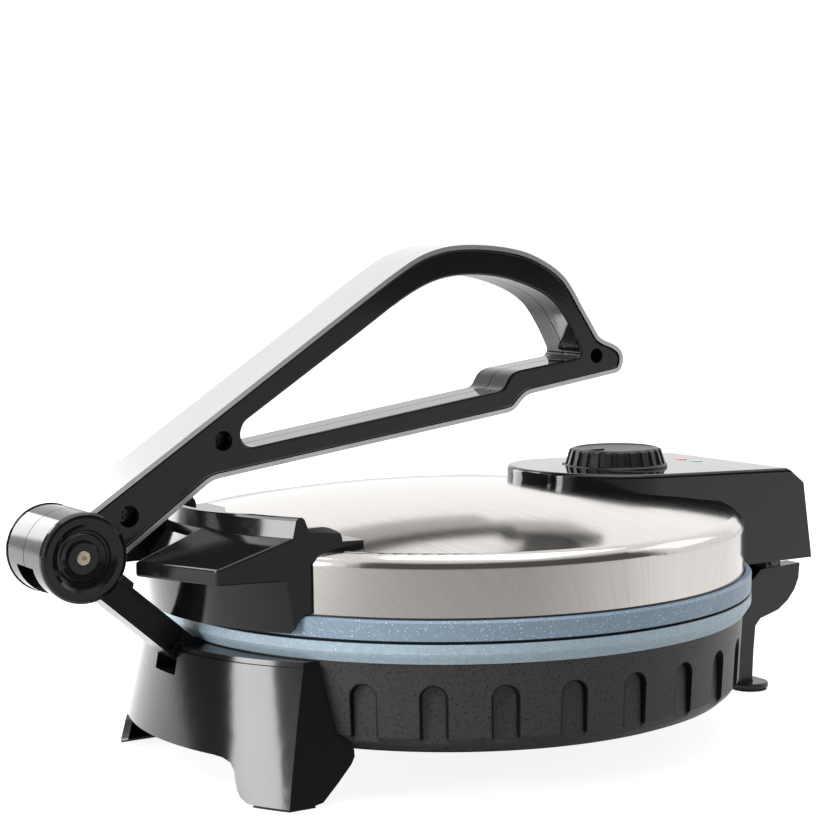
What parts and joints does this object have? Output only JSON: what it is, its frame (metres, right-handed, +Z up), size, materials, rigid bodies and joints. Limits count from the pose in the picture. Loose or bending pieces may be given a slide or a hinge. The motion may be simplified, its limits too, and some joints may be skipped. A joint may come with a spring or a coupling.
{
  "type": "electric roti maker",
  "caption": "Round clamshell flatbread cooker with a brushed steel lid, rear hinge housing with a heat knob, and a long looped press lever on a front link.",
  "frame": {"origin": "middle of the footprint's bounding box, on the counter", "axes": "+Z up, -Y towards the front with the lever barrel, +Y towards the hinge, +X towards the camera side; the plate axis stands 13.25 mm behind the origin"},
  "size_m": [0.2664, 0.3874, 0.2209],
  "materials": {
    "body_plastic": "speckled charcoal, lightly textured",
    "cover_steel": "black painted sheet",
    "screw_steel": "zinc plated",
    "rubber_black": "matt",
    "terminal_white": "ceramic",
    "granite_coat": "blue-grey speckled non-stick coat",
    "element_steel": "heat tinted",
    "ring_black": "dark insulating plastic",
    "lid_steel": "fine brushed",
    "grip_black": "fine-grained gloss",
    "housing_black": "gloss",
    "lens_red": "translucent red",
    "lens_green": "translucent green",
    "knob_grey": "satin dark grey",
    "thermostat_metal": "plated",
    "pin_steel": "ground",
    "hinge_black": "satin",
    "bracket_black": "fine-grained gloss",
    "arm_black": "gloss",
    "bush_nylon": "natural nylon",
    "barrel_pin_steel": "warm plated",
    "band_steel": "bright",
    "lever_black": "gloss"
  },
  "bodies": {
    "base": {"base_shell": "body_plastic", "base_bottom_cover": "cover_steel", "base_cover_screws": "screw_steel", "cord_bush": "rubber_black", "terminal_block": "terminal_white", "lower_heating_plate": "granite_coat", "lower_heating_element": "element_steel", "front_bracket": "bracket_black", "front_bracket_screws": "screw_steel", "front_foot_pads": "rubber_black", "rear_bracket": "hinge_black", "rear_foot_pad": "rubber_black", "hinge_pin": "pin_steel", "arm_pivot_pin": "pin_steel"},
    "lid": {"lid_shell": "lid_steel", "lid_insulating_ring": "ring_black", "upper_heating_plate": "granite_coat", "upper_heating_element": "element_steel", "lid_grip": "grip_black", "rear_housing": "housing_black", "indicator_lens_red": "lens_red", "indicator_lens_green": "lens_green", "thermostat": "thermostat_metal"},
    "knob": {"thermostat_knob": "knob_grey", "thermostat_shaft": "pin_steel"},
    "arm": {"lever_arm": "arm_black"},
    "barrel_axle": {"barrel_pin": "barrel_pin_steel", "barrel_bush": "bush_nylon"},
    "lever": {"lever_shell_near": "lever_black", "lever_shell_far": "lever_black", "lever_band": "band_steel", "lever_screws": "screw_steel", "barrel_cap_near": "lever_black", "barrel_cap_far": "lever_black"}
  },
  "joints": [
    {"name": "lid_hinge", "type": "hinge", "parent": "base", "child": "lid", "pos_m": [0, 0.17725, 0.0662], "axis": [-1, 0, 0], "range_deg": [0, 38.9]},
    {"name": "arm_swing", "type": "hinge", "parent": "base", "child": "arm", "pos_m": [0, -0.12275, 0.0534], "axis": [1, 0, 0], "range_deg": [0, 38.9]},
    {"name": "lever_swing", "type": "hinge", "parent": "arm", "child": "barrel_axle", "pos_m": [0, -0.17505, 0.099], "axis": [1, 0, 0], "range_deg": [0, 101.14]},
    {"name": "lever_press", "type": "hinge", "parent": "barrel_axle", "child": "lever", "pos_m": [0, -0.17505, 0.099], "axis": [1, 0, 0], "range_deg": [-6, 0]},
    {"name": "knob_turn", "type": "hinge", "parent": "lid", "child": "knob", "pos_m": [0, 0.10425, 0.11455], "axis": [0, 0, -1], "range_deg": [0, 270]}
  ],
  "couplings": [
    {"joint": "arm_swing", "follows": "lid_hinge", "ratio": 1},
    {"joint": "lever_swing", "follows": "lid_hinge", "ratio": 2.6}
  ]
}
